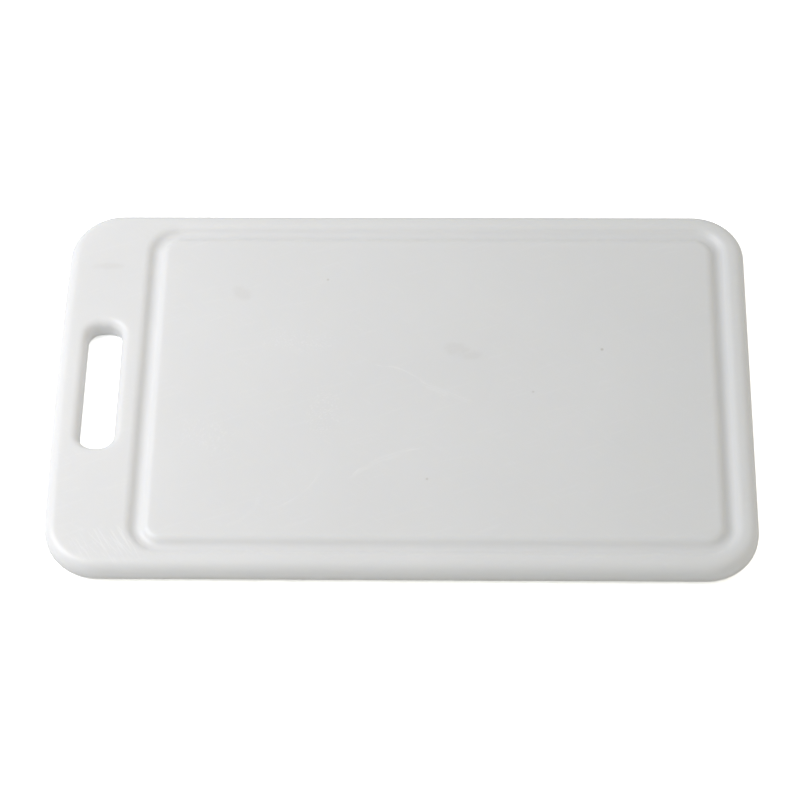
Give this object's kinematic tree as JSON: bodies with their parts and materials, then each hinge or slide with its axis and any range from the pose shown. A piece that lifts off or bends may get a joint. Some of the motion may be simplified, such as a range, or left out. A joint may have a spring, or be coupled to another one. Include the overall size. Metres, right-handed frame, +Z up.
{
  "type": "cutting board",
  "caption": "Rectangular plastic cutting board with rounded edges and corners, a juice groove around the work area and a hand slot across one end.",
  "frame": {"origin": "underside of the board, at the middle of its bounding box in plan", "axes": "+Z up out of the work surface, +X along the length away from the hand slot, +Y across the width"},
  "size_m": [0.4, 0.25, 0.015],
  "materials": {
    "polyethylene": "white polyethylene, satin, lightly used"
  },
  "bodies": {
    "root": {"board": "polyethylene"}
  },
  "joints": []
}
